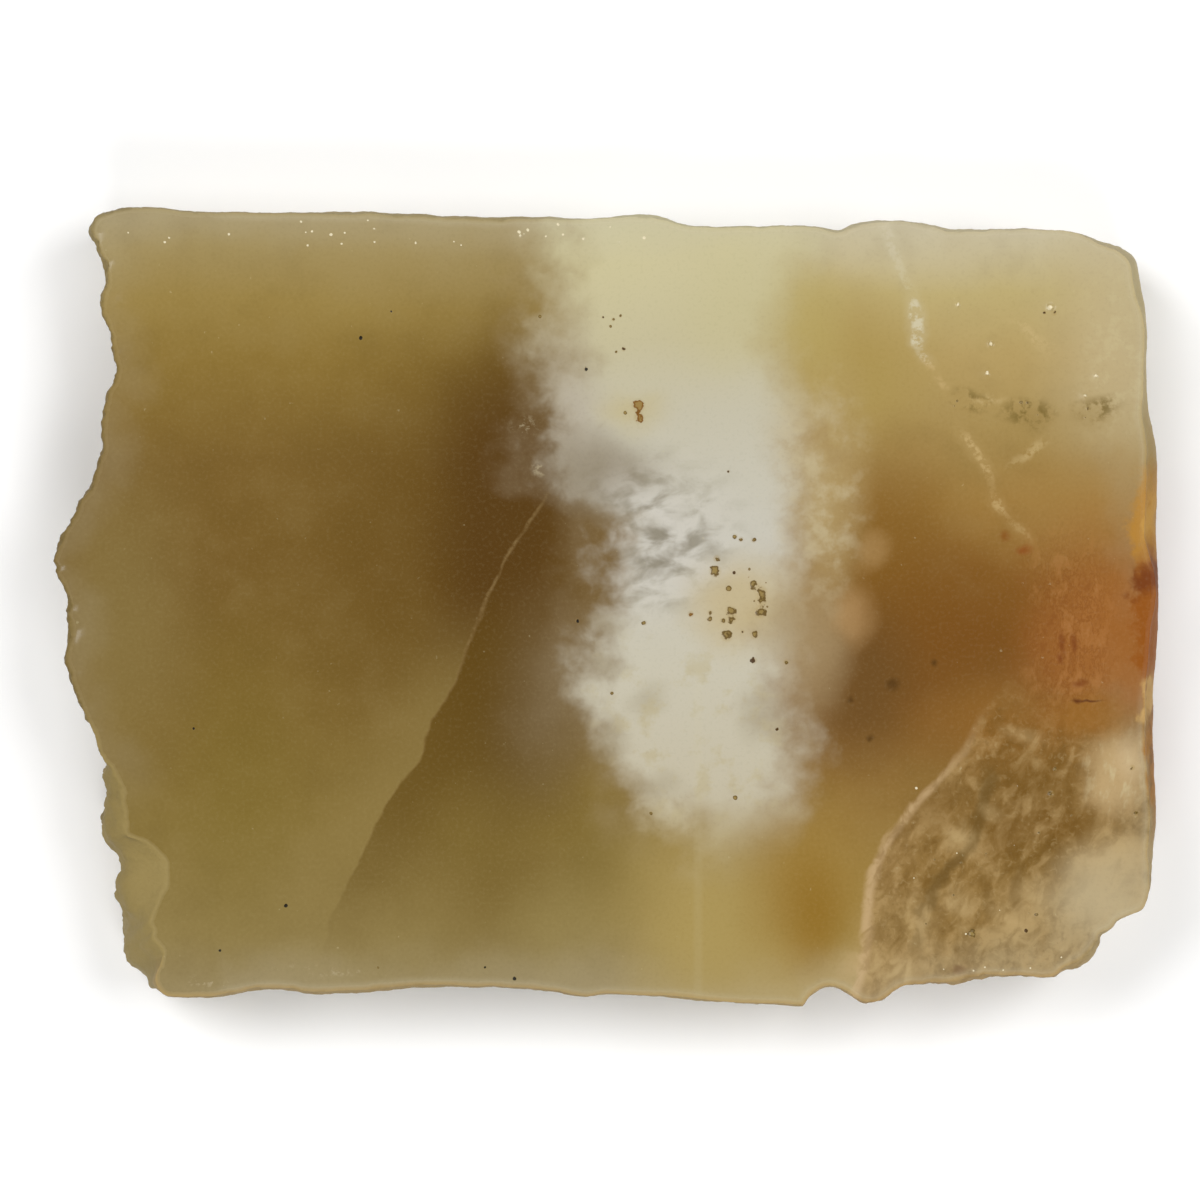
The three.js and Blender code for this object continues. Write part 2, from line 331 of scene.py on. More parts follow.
def slab_mesh():
    """The stone's closed surface, with what the relief and the finish need to know stored on it."""
    heights, rings = cad_outlines(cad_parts[SLAB])
    levels, side = dense_side(heights, rings)
    stations = side.shape[1]
    inward = inward_directions(side.mean(0))
    pits = PITS + strewn_pits()

    points, faces = [], []
    marks = {"inward": [], "edge": [], "rim": [], "pit": [], "stain": []}

    def add(place, way, edge, rim, pit=0.0, stain=0.0):
        points.append(place)
        slope = ARRIS_SLOPE * max(0.0, 1 - place[2] / ARRIS_REACH)
        slope -= ARRIS_SLOPE * max(0.0, 1 - (THICKNESS - place[2]) / ARRIS_REACH)
        marks["inward"].append((*way, slope))
        for name, value in (("edge", edge), ("rim", rim), ("pit", pit), ("stain", stain)):
            marks[name].append(value)

    for row, level in enumerate(levels):
        for station in range(stations):
            add((*side[row, station], level), inward[station], 1.0, 0.0)
    for row in range(len(levels) - 1):
        for station in range(stations):
            after = (station + 1) % stations
            low, high = row * stations, (row + 1) * stations
            faces.append((low + station, high + station, high + after, low + after))

    for row, step, own_pits in ((0, BACK_STEP, []), (len(levels) - 1, FACE_STEP, pits)):
        rim = side[row]
        tree = search_tree(rim)
        own_pits = [pit for pit in own_pits
                    if tree.find((pit[0], pit[1], 0))[2] > pit[2] * PIT_REACH + RIM_OFFSETS[0]
                    and inside(rim, np.array([pit[:2]]))[0]]
        inner = face_points(rim, inward, step, own_pits)
        places, triangles, moved = filled_face(rim, inner)
        depth, mark, stain = read_pits(places, own_pits)
        numbers = []
        for index, (x, y) in enumerate(places):
            if moved[index] < stations:
                numbers.append(row * stations + moved[index])
                continue
            numbers.append(len(points))
            _, nearest, away = tree.find((x, y, 0))
            falloff = max(0.0, 1 - away / RIM_REACH)
            add((x, y, levels[row] - depth[index]), inward[nearest], falloff, away,
                mark[index], stain[index])
        for a, b, c in triangles:
            corners = (numbers[a], numbers[b], numbers[c])
            faces.append(corners if row else corners[::-1])

    mesh = bpy.data.meshes.new(SLAB)
    mesh.from_pydata([Vector(point) * MM for point in points], [], faces)
    mesh.attributes.new("inward", "FLOAT_VECTOR", "POINT").data.foreach_set(
        "vector", np.array(marks.pop("inward")).ravel())
    marks.update(side_roughness(np.array(points)))
    for name, values in marks.items():
        mesh.attributes.new(name, "FLOAT", "POINT").data.foreach_set("value", values)
    return mesh


def side_roughness(points):
    """How rough and how flaky each place is: most at the broken end, least on the natural skin."""
    x, y, z = points.T

    def rise(low, high, value):
        t = np.clip((value - low) / (high - low), 0, 1)
        return t * t * (3 - 2 * t)

    broken = 1 - rise(-66, -61, x)
    skin = rise(70.5, 72.5, x)
    chipped = rise(24, 30, x) * (1 - rise(-46, -40, y)) * (1 - skin)
    kind = 0.34 + 0.66 * broken + 0.3 * chipped - 0.16 * skin
    below = THICKNESS - z
    return {
        "rough": kind * (0.6 + 0.4 * rise(0, 2, np.minimum(z, below))),
        "flaky": kind * rise(1.5, 6, below) * rise(0, 3, z),
        "nicked": kind * (1 - rise(0.4, 2.2, np.minimum(z, below))),
    }


# ---- Writing node trees. ----

class Wire:
    """One socket of a tree. Sums written with it add Math nodes to the tree."""

    def __init__(self, owner, socket):
        self.owner = owner
        self.socket = socket

    def __add__(self, other):
        return self.owner.sum_of("ADD", self, other)

    def __sub__(self, other):
        return self.owner.sum_of("SUBTRACT", self, other)

    def __rsub__(self, other):
        return self.owner.sum_of("SUBTRACT", other, self)

    def __mul__(self, other):
        return self.owner.sum_of("MULTIPLY", self, other)

    def __truediv__(self, other):
        return self.owner.sum_of("DIVIDE", self, other)

    def __rtruediv__(self, other):
        return self.owner.sum_of("DIVIDE", other, self)

    __radd__ = __add__
    __rmul__ = __mul__


def set_stops(elements, stops):
    """Gives a colour ramp its stops, each a place from 0 to 1 and a colour."""
    while len(elements) < len(stops):
        elements.new(0.5)
    for element, (place, colour) in zip(elements, stops):
        element.position = place
        element.color = colour


def set_course(mapping, course):
    """Gives a curve its points."""
    points = mapping.curves[0].points
    while len(points) < len(course):
        points.new(0.5, 0.5)
    for point, place in zip(points, course):
        point.location = place
        point.handle_type = "AUTO_CLAMPED"
    mapping.update()


class Tree:
    """A node tree that is written as sums and named steps."""

    def __init__(self, tree):
        self.tree = tree

    def node(self, kind, settings, sockets, out=0):
        """Adds a node: its settings first, then its sockets' values or links."""
        made = self.tree.nodes.new(kind)
        for key, value in settings.items():
            if key == "stops":
                set_stops(made.color_ramp.elements, value)
            elif key == "course":
                set_course(made.mapping, value)
            else:
                setattr(made, key, value)
        for key, value in sockets.items():
            if isinstance(value, Wire):
                self.tree.links.new(value.socket, made.inputs[key])
            else:
                made.inputs[key].default_value = value
        return Wire(self, made.outputs[out]) if made.outputs else None

    def sum_of(self, operation, first, second):
        return self.node("ShaderNodeMath", {"operation": operation}, {0: first, 1: second})

    def size_of(self, value):
        return self.node("ShaderNodeMath", {"operation": "ABSOLUTE"}, {0: value})

    def rise(self, low, high, value, full=1.0):
        """0 below low, full above high, and a smooth step between. It falls where low is above."""
        ends = (full, 0.0) if low > high else (0.0, full)
        return self.node("ShaderNodeMapRange", {"interpolation_type": "SMOOTHSTEP"}, {
            "Value": value, "From Min": min(low, high), "From Max": max(low, high),
            "To Min": ends[0], "To Max": ends[1]})


class Finish(Tree):
    """A material, with the steps that its colours are made of."""

    def __init__(self, name):
        self.material = bpy.data.materials.new(name)
        self.material.use_nodes = True
        super().__init__(self.material.node_tree)
        self.tree.nodes.clear()

    def surface(self, sockets):
        """Ends the finish in one surface with these values."""
        shader = self.node("ShaderNodeBsdfPrincipled", {}, sockets)
        self.node("ShaderNodeOutputMaterial", {}, {"Surface": shader})
        return self.material

    def mix(self, factor, first, second):
        """The first colour turning into the second as the factor goes from 0 to 1."""
        settings = {"data_type": "RGBA", "clamp_factor": True}
        return self.node("ShaderNodeMix", settings, {0: factor, 6: first, 7: second}, out=2)

    def vector(self, operation, first, second, out=0):
        return self.node("ShaderNodeVectorMath", {"operation": operation}, {
            0: first, 1: second}, out)

    def scaled(self, vector, scale, shift):
        """A vector times a scale, plus a shift."""
        return self.node("ShaderNodeVectorMath", {"operation": "MULTIPLY_ADD"}, {
            0: vector, 1: scale, 2: shift})

    def along(self, vector, axis):
        """How far a vector reaches along an axis."""
        return self.vector("DOT_PRODUCT", vector, axis, out=1)

    def stretch(self, place, scale, turn):
        """The place in units of the scale, turned in the plane of the face."""
        return self.node("ShaderNodeMapping", {"vector_type": "TEXTURE"}, {
            "Vector": place, "Rotation": (0.0, 0.0, math.radians(turn)), "Scale": scale})

    def noise(self, place, size, detail=2.0, roughness=0.5, distortion=0.0, colour=False):
        """Cloudy noise about 0.5, with lumps of that size."""
        return self.node("ShaderNodeTexNoise", {}, {
            "Vector": place, "Scale": 1 / size, "Detail": detail, "Roughness": roughness,
            "Distortion": distortion}, out=1 if colour else 0)

    def push(self, place, size, amount, detail=2.0):
        """A noisy shift at each place, by up to half the amount each way."""
        cloud = self.noise(place, size, detail, colour=True)
        return self.scaled(cloud, (amount,) * 3, (-amount / 2,) * 3)

    def oval(self, place, centre, radii, soft, full=1.0, turn=0.0):
        """Full inside an oval patch, 0 outside, and a soft edge whose middle is at the radii."""
        (x, y), (wide, tall) = centre, radii
        if turn:
            offset = self.vector("SUBTRACT", place, (x, y, 0.0))
            c, s = math.cos(math.radians(turn)), math.sin(math.radians(turn))
            flat = self.node("ShaderNodeCombineXYZ", {}, {
                0: self.along(offset, (c / wide, s / wide, 0.0)),
                1: self.along(offset, (-s / tall, c / tall, 0.0))})
        else:
            flat = self.scaled(place, (1 / wide, 1 / tall, 0.0), (-x / wide, -y / tall, 0.0))
        away = self.node("ShaderNodeVectorMath", {"operation": "LENGTH"}, {0: flat}, out=1)
        return self.rise(1 + soft, 1 - soft, away, full)


# ---- The relief: Geometry Nodes roughen the sides, facet by facet. ----

RELIEF_SIZES = {
    "Flake size": 5.5 * MM, "Flake depth": 1.3 * MM,
    "Lump size": 1.4 * MM, "Lump depth": 1.3 * MM,
    "Grit size": 0.7 * MM, "Grit depth": 0.7 * MM,
    "Nick size": 2.4 * MM, "Nick depth": 0.45 * MM,
}


def relief_tree():
    """The tree that roughens the sides: flake scars, lumps and grit, and nicks on the corners."""
    relief = Tree(bpy.data.node_groups.new("stone relief", "GeometryNodeTree"))
    sockets = relief.tree.interface
    sockets.new_socket("Stone", in_out="INPUT", socket_type="NodeSocketGeometry")
    for name in RELIEF_SIZES:
        sockets.new_socket(name, in_out="INPUT", socket_type="NodeSocketFloat")
    sockets.new_socket("Finish", in_out="INPUT", socket_type="NodeSocketMaterial")
    sockets.new_socket("Stone", in_out="OUTPUT", socket_type="NodeSocketGeometry")
    place = relief.node("GeometryNodeInputPosition", {}, {})

    def given(name):
        return relief.node("NodeGroupInput", {}, {}, name)

    def stored(name, kind="FLOAT"):
        return relief.node("GeometryNodeInputNamedAttribute", {"data_type": kind}, {
            "Name": name}, "Attribute")

    def grain(size, seed, detail):
        return relief.node("ShaderNodeTexNoise", {"noise_dimensions": "4D"}, {
            "Vector": place, "W": seed, "Scale": 1.0 / given(size), "Detail": detail})

    scars = relief.node("ShaderNodeTexVoronoi", {"feature": "SMOOTH_F1"}, {
        "Vector": place, "Scale": 1.0 / given("Flake size"), "Smoothness": 0.15})
    bites = relief.rise(0.54, 0.72, grain("Nick size", 5, 1.0))
    flakes = (scars - 0.5) * given("Flake depth") * stored("flaky")
    nicks = bites * given("Nick depth") * stored("nicked")
    lumps = (grain("Lump size", 3, 2.0) - 0.5) * given("Lump depth")
    grit = (grain("Grit size", 8, 2.0) - 0.5) * given("Grit depth")
    amount = (flakes + nicks + (lumps + grit) * stored("rough")) * stored("edge")
    offset = relief.node("ShaderNodeVectorMath", {"operation": "SCALE"}, {
        0: stored("inward", "FLOAT_VECTOR"), "Scale": amount})
    moved = relief.node("GeometryNodeSetPosition", {}, {
        "Geometry": given("Stone"), "Offset": offset})
    real = relief.node("GeometryNodeRealizeInstances", {}, {"Geometry": moved})
    finished = relief.node("GeometryNodeSetMaterial", {}, {
        "Geometry": real, "Material": given("Finish")})
    relief.node("NodeGroupOutput", {}, {"Stone": finished})
    return relief.tree


def jade_stone(finish):
    """The slab as one plain mesh, with its relief applied, kept within the CAD slab's box."""
    rough = placed("jade_stone", slab_mesh())
    relief = rough.modifiers.new("relief", "NODES")
    relief.node_group = relief_tree()
    given = {**RELIEF_SIZES, "Finish": finish}
    for item in relief.node_group.interface.items_tree:
        if item.in_out == "INPUT" and item.name in given:
            relief[item.identifier] = given[item.name]
    evaluated = rough.evaluated_get(bpy.context.evaluated_depsgraph_get())
    applied = bpy.data.meshes.new_from_object(evaluated)
    rough.modifiers.remove(relief)
    rough.data = applied
    applied.name = "jade_stone"
    corners = np.empty(len(applied.vertices) * 3, np.float32)
    applied.vertices.foreach_get("co", corners)
    corners = np.clip(corners.reshape(-1, 3), *(np.float32(end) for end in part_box(SLAB)))
    applied.vertices.foreach_set("co", corners.ravel())
    applied.shade_smooth()
    applied.set_sharp_from_angle(angle=SHARP_ANGLE)
    return rough


# How brightly a level face is lit, and the light that the stone's gloss adds to every colour.
LIT = 1.213
SHEEN = 0.008


def tint(red, green, blue):
    """A colour as it looks on a screen, 0 to 255, turned into the light that the stone gives back.

    The gloss's own light is taken off, since the surface adds it again.
    """
    def linear(level):
        shown = level / 255
        light = shown / 12.92 if shown <= 0.04045 else ((shown + 0.055) / 1.055) ** 2.4
        return max(light - SHEEN, 0.003) / LIT
    return (linear(red), linear(green), linear(blue), 1.0)


def share(value, low, high):
    """How far a value has come from low to high."""
    return (value - low) / (high - low)


# ---- The jade. ----

TOP, BOTTOM = HIGH[1], LOW[1]
LEFT, RIGHT = LOW[0], HIGH[0]

# The body of the stone, from its bottom edge to its top edge. It is darkest near the middle and paler
# towards both edges: partly the stone's own colour, partly painted glow of light coming in at the edges.
OLIVE_BODY = [
    (-53, (154, 138, 100)), (-43, (144, 125, 76)), (-30, (135, 114, 60)), (-15, (127, 103, 51)),
    (5, (119, 92, 43)), (20, (124, 97, 47)), (33, (141, 115, 56)), (41, (154, 130, 71)),
    (48, (162, 142, 92)), (53, (168, 152, 112)),
]
OCHRE_BODY = [
    (-52, (176, 154, 103)), (-43, (160, 133, 70)), (-30, (148, 117, 62)), (-15, (128, 91, 45)),
    (-5, (124, 81, 34)), (5, (131, 90, 38)), (14, (153, 118, 60)), (24, (166, 139, 83)),
    (34, (181, 156, 100)), (42, (190, 172, 118)), (53, (204, 194, 166)),
]
CLOUD_BODY = [
    (-34, (188, 172, 128)), (-25, (197, 188, 164)), (-8, (202, 196, 176)), (10, (202, 198, 184)),
    (26, (198, 192, 170)), (36, (198, 189, 154)), (47, (205, 196, 155)), (53, (206, 199, 164)),
]

# Where the cloud's two sides run, and the course of the fracture, the vein and the crust's rim,
# each as (height up the face, place along it).
CLOUD_LEFT = [
    (-38, 14), (-33, 9), (-27, 5), (-22, 2), (-18, -0.5), (-14, -2), (-7, -2), (-2, 0.5),
    (4, 0.8), (8.5, 2), (11.5, 3), (13.5, 0), (15.5, -5.8), (23, -6.5), (31, -5.2),
    (37, -7.5), (42, -6.5), (48, -6.5), (54, -8),
]
CLOUD_RIGHT = [
    (-38, 19), (-32, 22.3), (-26, 27), (-20, 28), (-13, 25.5), (-6, 26), (0, 26), (6, 28),
    (13, 29), (20, 30), (28, 29.5), (33, 25), (39, 23), (45, 25.5), (54, 31),
]
FRACTURE = [
    (-52, -40.5), (-48, -38.8), (-42.5, -37.5), (-37, -34.8), (-28.3, -30.7), (-22.9, -27.3),
    (-20, -24.9), (-17.4, -24.6), (-11.3, -21.2), (-1.8, -17.4), (5, -14.4), (14.5, -8.4),
    (20, -5), (54, 12),
]
VEIN = [
    (-54, 70), (7.4, 57.8), (10, 56.4), (13.6, 53), (18.8, 51.5), (20.8, 50), (23.1, 48.4),
    (30.5, 45.4), (33.1, 43.5), (35.6, 42), (39.7, 42), (43.7, 40.8), (49.1, 38.5), (54, 37.6),
]
CRUST_RIM = [
    (-54, 33), (-48, 34.3), (-42, 34.9), (-37, 35.5), (-33.5, 36.8), (-28, 40.3), (-20, 47.6),
    (-14, 51), (-8, 56), (0, 70), (54, 75),
]
CRUST_CHANNEL = [
    (-54, 41.4), (-46.6, 42.4), (-40.4, 43.6), (-36.6, 45.5), (-32.6, 49.2), (-28.2, 50.5),
    (-23.2, 51.7), (-16, 53), (54, 60),
]

# How strong the vein's beads are at each height, from 0 to 1.
VEIN_BEADS = [
    (-54, 0), (8, 0), (10.5, 0.4), (12, 0.2), (13.6, 0.75), (15.6, 0.2), (18, 0.5), (20.8, 0.85),
    (23, 0.55), (25.2, 0.05), (29, 0.05), (30.5, 0.65), (31.8, 0.15), (33.3, 0.95), (34.6, 0.3),
    (35.7, 1), (40.4, 1), (42.2, 0.45), (46, 0.35), (49, 0.5), (54, 0.25),
]

# How far the colour zones run across the stone from the front face to the back one.
LEAN = (0.28, -0.14, 0)


class Jade(Finish):
    """The slab's one finish, painted zone over zone in the slab's own millimetres."""

    def __init__(self):
        super().__init__("raw jade")
        metres = self.node("ShaderNodeTexCoord", {}, {}, "Object")
        flat = self.vector("MULTIPLY", metres, (1 / MM, 1 / MM, 1 / MM))
        self.outer_x = self.along(flat, (1.0, 0.0, 0.0))
        self.deep = THICKNESS - self.along(flat, (0.0, 0.0, 1.0))
        deep = self.node("ShaderNodeCombineXYZ", {}, {0: self.deep, 1: self.deep, 2: self.deep})
        lean = self.vector("MULTIPLY", LEAN, deep)
        self.place = self.vector("ADD", flat, lean)
        self.x = self.along(self.place, (1.0, 0.0, 0.0))
        self.y = self.along(self.place, (0.0, 1.0, 0.0))
        self.loose = self.vector("ADD", self.place, self.push(self.place, 22, 7))
        self.ragged = self.vector("ADD", self.loose, self.push(self.place, 5, 3.0, detail=3.0))
        self.fine = self.vector("ADD", self.place, self.push(self.place, 1.3, 0.8, detail=1.0))
        # Noises that several zones share, the broadest first.
        self.billow = self.noise(self.place, 9, 4.0, 0.55) - 0.5
        self.curl = self.noise(self.place, 3.4, 3.0, 0.5, 0.4) - 0.5
        self.soil = self.noise(self.place, 3.2, 3.0, 0.6)
        self.crumbs = self.noise(self.place, 1.1, 3.0, 0.7)
        self.grain = self.noise(self.place, 0.5, 2.0, 0.6)
        self.rim = self.stored("rim")
        self.side = self.rise(0.75, 1.0, self.stored("edge"))
        self.colour = None

    def stored(self, name):
        """A value stored on the mesh."""
        return self.node("ShaderNodeAttribute", {"attribute_name": name}, {}, out=2)

    def lay(self, mask, colour, strength=1.0):
        """Lays a colour, given as 0 to 255 or as a wire, over what is there, where the mask says."""
        cover = mask * strength if strength != 1.0 else mask
        laid = colour if isinstance(colour, Wire) else tint(*colour)
        self.colour = self.mix(cover, self.colour, laid)

    def patch(self, place, centre, radii, colour, soft, strength, turn=0.0):
        """Lays one soft oval patch of colour."""
        self.lay(self.oval(place, centre, radii, soft, strength, turn), colour)

    def patches(self, place, rows):
        """Lays patches, each a centre, radii, colour, softness, strength and any turn."""
        for row in rows:
            self.patch(place, *row)

    def dabs(self, place, colour, soft, strength, spots):
        """Lays patches of one colour, each a centre and radii."""
        for centre, radii in spots:
            self.patch(place, centre, radii, colour, soft, strength)

    def mottle(self, noise, where, *tones):
        """Lays colours by a noise: each starts at one value of it and is full at another."""
        for start, full, strength, colour in tones:
            self.lay(where * self.rise(start, full, noise, strength), colour)

    def ramp(self, stops):
        """A colour read off a run of stops from the bottom edge to the top one."""
        height = share(self.along(self.loose, (0.0, 1.0, 0.0)), BOTTOM, TOP)
        settings = {"stops": [(share(y, BOTTOM, TOP), tint(*colour)) for y, colour in stops]}
        return self.node("ShaderNodeValToRGB", settings, {"Fac": height})

    def read_curve(self, points, height, low, high):
        """A value from low to high that depends on the height up the face."""
        course = [(share(y, BOTTOM, TOP), share(value, low, high)) for y, value in points]
        read = self.node("ShaderNodeFloatCurve", {"course": course}, {
            "Value": share(height, BOTTOM, TOP)})
        return read * (high - low) + low

    def course(self, points, height):
        """Where a line that runs up the face lies at this height, in millimetres along it."""
        return self.read_curve(points, height, LEFT, RIGHT)


def lay_body(jade):
    """The olive left side, the ochre right side, and the broad zones in each."""
    x = jade.along(jade.loose, (1.0, 0.0, 0.0))
    # The body ramps carry painted glow: paler towards the top and bottom edges.
    jade.colour = jade.mix(jade.rise(-4, 32, x), jade.ramp(OLIVE_BODY), jade.ramp(OCHRE_BODY))
    mottle = jade.noise(jade.place, 7, 3.0, 0.55)
    jade.lay(jade.rise(0.45, 0.75, mottle, 0.12), (160, 140, 92))
    jade.lay(jade.rise(0.55, 0.25, mottle, 0.12), (96, 74, 26))
    jade.patches(jade.loose, [
        ((-50, -24), (7, 15), (124, 104, 42), 0.9, 0.4),
        ((-66, -1), (9, 17), (136, 116, 68), 0.8, 0.75),
        ((-14, 10), (18, 24), (99, 72, 28), 0.9, 0.85, -4),
        ((-14, 12), (9, 22), (88, 61, 21), 0.6, 0.8, -3),
        ((-18, -48), (22, 5), (144, 126, 78), 0.8, 0.4),
        ((-15, -34), (9, 11), (116, 94, 44), 0.9, 0.65),
        ((0, -37), (6, 5), (128, 108, 56), 0.9, 0.6),
        ((-7, -43), (6, 5), (152, 134, 82), 0.9, 0.45),
        ((32.5, 32), (9, 8), (170, 146, 82), 0.9, 0.85),
        ((70, 36), (9, 14), (194, 177, 138), 0.8, 0.7),
        ((37, 9), (9, 11), (132, 95, 40), 0.8, 0.8),
        ((63, 12), (10, 6), (168, 132, 74), 0.9, 0.5),
        ((43, -6), (8, 10), (120, 79, 31), 0.8, 0.6),
        ((69, -4), (9, 12), (163, 106, 52), 0.9, 0.85),
        ((35, -10), (6, 9), (108, 78, 40), 0.8, 0.8),
        ((-13, -17), (7, 9), (98, 75, 36), 0.8, 0.7),
        ((14, -42), (10, 11), (174, 152, 92), 0.9, 0.8),
        ((28, -37), (6.5, 10), (156, 125, 62), 0.8, 0.8),
        ((28, -41), (3.5, 6), (142, 106, 36), 0.9, 0.7),
    ])


def lay_fracture(jade):
    """The healed fracture: paler stone on its left, darker on its right, and a fine light line."""
    jag = jade.noise(jade.place, 3.2, 3.0) - 0.5
    height = jade.y
    off = jade.x + jag * 1.6 - jade.course(FRACTURE, height)
    ends = jade.rise(-52, -24, height)
    right = jade.rise(-0.2, 0.3, off) * jade.rise(15, 2, off) * jade.rise(8, -8, height) * ends
    left = jade.rise(0.2, -0.3, off) * jade.rise(-13, 0, off) * jade.rise(4, -16, height) * ends
    jade.lay(left, (143, 122, 72), 0.6)
    jade.lay(right, (98, 73, 27), 0.65)
    line = jade.rise(0.42, 0.0, jade.size_of(off)) * jade.rise(17, 12, height) * ends
    grains = jade.rise(0.35, 0.65, jade.noise(jade.place, 1.6, 3.0, 0.7))
    bright = 0.1 + 0.3 * grains * jade.rise(-16, 0, height)
    jade.lay(line * bright, (164, 138, 92))


def lay_cloud(jade):
    """The white cloud: a faint veil round it, a billowing core and its curdled grey middle."""
    x = jade.x + jade.billow * 15 + jade.curl * 7
    left = x - jade.course(CLOUD_LEFT, jade.y)
    right = jade.course(CLOUD_RIGHT, jade.y) - x
    foot = jade.rise(-40, -24, jade.y + jade.billow * 14 + jade.curl * 5)
    head = jade.rise(28, 36, jade.y)
    veil = jade.rise(-11, 2, left + jade.billow * 8) * jade.rise(-5, 3, right) * foot
    jade.lay(veil, (164, 147, 118), 0.3)
    soft_left = jade.rise(-4.0, 5.4, left) * (1 - head) + jade.rise(-6.5, 7.5, left) * head
    soft_right = jade.rise(-3.5, 8.5, right) * (1 - head) + jade.rise(-6, 7, right) * head
    core = soft_left * soft_right * foot
    jade.patches(jade.ragged, [
        ((-8, -11), (6, 10), (130, 112, 84), 0.9, 0.5),
        ((27, -9), (4, 9), (150, 129, 96), 0.9, 0.3),
    ])
    jade.lay(core, jade.ramp(CLOUD_BODY), 0.97)
    lilac = jade.oval(jade.ragged, (-5.5, 27), (5, 12), 0.9, turn=6)
    jade.lay(lilac * core, (178, 167, 150), 0.75)
    jade.patch(jade.ragged, (0, 18.2), (6.8, 4), (144, 132, 110), 0.8, 0.88)
    curdled(jade, core)
    jade.dabs(jade.ragged, (160, 148, 120), 0.9, 0.4, [
        ((0, -1.5), (2, 1.2)), ((-1, -8), (1.6, 1.2)), ((5, -12), (2.2, 1.6)),
        ((1, -17), (2, 2.4)), ((8, -24), (3, 1.6)), ((21, -14), (2.4, 3.2)), ((24, -2), (2.4, 3)),
    ])
    lower = core * jade.rise(0, -10, jade.y)
    jade.lay(lower * jade.rise(0.5, 0.7, jade.soil, 0.5), (186, 172, 132))
    fringe = jade.oval(jade.ragged, (28, 15), (5.5, 15), 0.7)
    jade.patches(jade.ragged, [
        ((4.6, 26.6), (3.6, 2.4), (192, 176, 126), 0.9, 0.6),
        ((18, 0), (6, 5.6), (192, 171, 122), 0.7, 0.7),
        ((19, 40), (8, 6), (196, 186, 140), 0.9, 0.5),
        ((28.5, 16), (4.6, 14), (180, 157, 108), 0.9, 0.75),
    ])
    jade.mottle(jade.soil, fringe, (0.46, 0.7, 0.5, (200, 186, 150)), (0.52, 0.3, 0.5, (162, 135, 86)))
    jade.patches(jade.ragged, [
        ((27, 37), (4, 7), (180, 160, 94), 0.9, 0.6),
        ((27.5, -4), (4.4, 7), (166, 143, 104), 0.9, 0.7),
        ((33.6, -1), (2.6, 3.4), (180, 144, 96), 0.8, 0.6),
        ((36.4, 7.8), (2.2, 2.2), (180, 146, 96), 0.8, 0.45),
    ])
    fleck = jade.rise(0.52, 0.66, jade.crumbs)
    flecked = [((-11.5, 23.6), (1.6, 1.1)), ((-10.2, 17.8), (1.0, 0.8)),
               ((-38.7, -48.6), (4.6, 0.9)), ((-54, -49.8), (2.6, 0.7))]
    for centre, radii in flecked:
        cover = jade.oval(jade.ragged, centre, radii, 0.9)
        jade.lay(cover * fleck, (190, 176, 142), 0.5)
    streak = jade.rise(0.9, 0.2, jade.size_of(jade.x - 12.4))
    jade.lay(streak * jade.rise(-4, -14, jade.y, 0.07), (210, 200, 162))


def curdled(jade, core):
    """Grey hollows between soft white curds, lying nearly level, in the middle of the cloud."""
    flat = jade.stretch(jade.place, (1.7, 1.0, 1.4), 12)
    lumps = jade.noise(flat, 2.5, 3.0, 0.5, 0.4)
    where = jade.oval(jade.ragged, (6.5, 9.5), (8.5, 8.5), 0.7, turn=-14) * core
    curds = jade.mix(jade.rise(0.3, 0.62, lumps), tint(132, 124, 106), tint(206, 201, 190))
    jade.lay(where, curds, 0.85)


def lay_vein(jade):
    """The beaded pale vein at the top right, its side branch, and the rust that ends it."""
    sway = (jade.noise(jade.place, 3, 3.0) - 0.5) * 1.8
    off = jade.size_of(jade.x + sway - jade.course(VEIN, jade.y))
    beads = jade.read_curve(VEIN_BEADS, jade.y + sway, 0.0, 1.0)
    upper = jade.rise(32, 35, jade.y)
    grains = jade.rise(0.42, 0.58, jade.crumbs)
    tone = jade.mix(upper, tint(204, 176, 122), tint(214, 206, 178))
    jade.lay(jade.rise(2.0, 0.3, off) * beads, tone, 0.18)
    jade.lay(jade.rise(0.95, 0.3, off) * beads * grains, tone, 0.7)
    branches = (jade.oval(jade.ragged, (57.2, 21.4), (2.4, 0.8), 0.9, turn=40)
                + jade.oval(jade.ragged, (51.4, 28.5), (1.9, 0.6), 0.9)
                + jade.oval(jade.ragged, (56.5, 36.5), (2.6, 0.5), 0.9, turn=-35))
    jade.lay(branches * grains, (204, 180, 128), 0.5)
    jade.patches(jade.ragged, [
        ((55.5, 9.1), (0.5, 0.5), (134, 78, 22), 1.0, 0.7),
        ((57.4, 7.4), (0.6, 0.6), (140, 72, 18), 1.0, 0.7),
    ])
    jade.dabs(jade.fine, (84, 58, 14), 0.9, 0.75, [
        ((38.7, -10.5), (0.75, 0.75)), ((44.4, -7.6), (0.4, 0.4)), ((33.0, -12.7), (0.4, 0.4)),
        ((35.7, -17.8), (0.4, 0.4)),
    ])
    jade.dabs(jade.ragged, (152, 126, 72), 0.9, 0.5, [
        ((57.4, 26.2), (2.6, 1.6)), ((66, 26.6), (3, 1.8))])
    spots = jade.noise(jade.place, 1.7, 3.0, 0.65)
    stains = jade.rise(0.44, 0.62, spots)
    near = (jade.oval(jade.ragged, (56.8, 26.6), (3, 2), 0.6)
            + jade.oval(jade.ragged, (48.8, 27.9), (2.6, 1.4), 0.6)
            + jade.oval(jade.ragged, (66.4, 27.2), (3, 1.6), 0.6))
    jade.lay(stains * near, (114, 94, 44), 0.75)
    pale = jade.oval(jade.ragged, (69.5, 35), (5, 10), 0.8) * jade.rise(0.54, 0.36, spots)
    jade.lay(pale, (204, 190, 146), 0.35)


